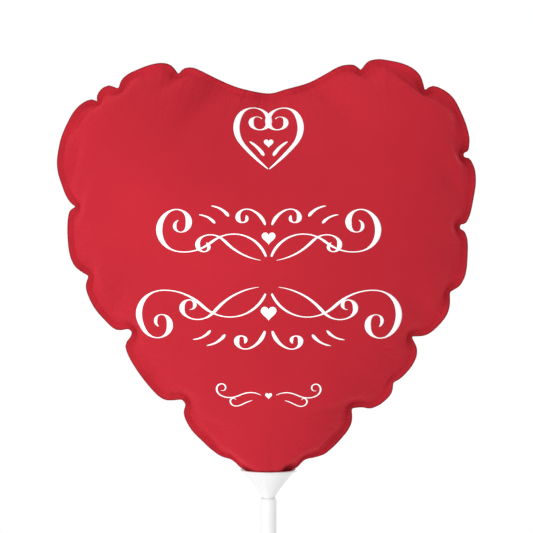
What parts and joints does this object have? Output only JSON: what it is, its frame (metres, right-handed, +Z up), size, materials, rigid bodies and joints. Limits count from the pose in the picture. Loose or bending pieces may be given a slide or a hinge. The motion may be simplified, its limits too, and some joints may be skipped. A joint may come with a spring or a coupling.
{
  "type": "heart-shaped foil balloon on cup and stick",
  "caption": "Heart-shaped inflated foil balloon with a puckered heat-sealed edge, held by its gathered tail in a cone cup that plugs into a hollow hand-held stick.",
  "frame": {"origin": "middle of the stick's lower end, where it is pushed into a holder", "axes": "+Z up along the stick; -Y is the balloon's front face; +X is to the right seen from the front"},
  "size_m": [0.2237, 0.098, 0.535],
  "materials": {
    "film_print": "satin",
    "film_plain": "satin",
    "valve_film": "gloss",
    "cup_plastic": "satin",
    "stick_plastic": "satin"
  },
  "bodies": {
    "stick": {"stick": "stick_plastic"},
    "cup": {"cup": "cup_plastic"},
    "balloon": {"front_panel": "film_print", "back_panel": "film_plain", "valve_front_film": "valve_film", "valve_back_film": "valve_film", "filling_tail": "film_plain"}
  },
  "joints": [
    {"name": "cup_turn", "type": "hinge", "parent": "stick", "child": "cup", "pos_m": [0, 0, 0.3], "axis": [0, 0, 1], "continuous": true},
    {"name": "balloon_lift", "type": "slide", "parent": "cup", "child": "balloon", "axis": [0, 0, 1], "range_m": [0, 0.07]}
  ]
}
